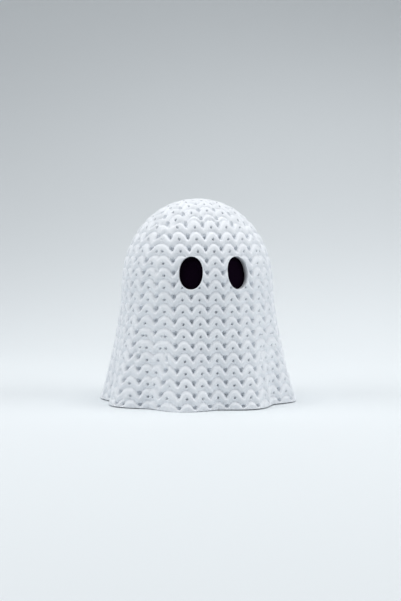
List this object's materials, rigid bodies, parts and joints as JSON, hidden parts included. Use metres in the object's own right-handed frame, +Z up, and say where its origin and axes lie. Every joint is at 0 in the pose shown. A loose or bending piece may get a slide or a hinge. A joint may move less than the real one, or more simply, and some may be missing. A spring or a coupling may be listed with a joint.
{
  "type": "ghost figure",
  "caption": "Hollow standing ghost figure with a knit-look surface, domed head, fluted hem and dark oval eyes, open underneath, for table decoration.",
  "frame": {"origin": "middle of the hem, on the table", "axes": "+Z up to the crown, -Y the way the face looks, +X to the right as one looks at the face"},
  "size_m": [0.1022, 0.1022, 0.1105],
  "materials": {
    "white_shell": "matt cool white with a shallow knit relief",
    "black_eye": "matt black"
  },
  "bodies": {
    "root": {"knit_shell": "white_shell", "left_eye_insert": "black_eye", "right_eye_insert": "black_eye"}
  },
  "joints": []
}
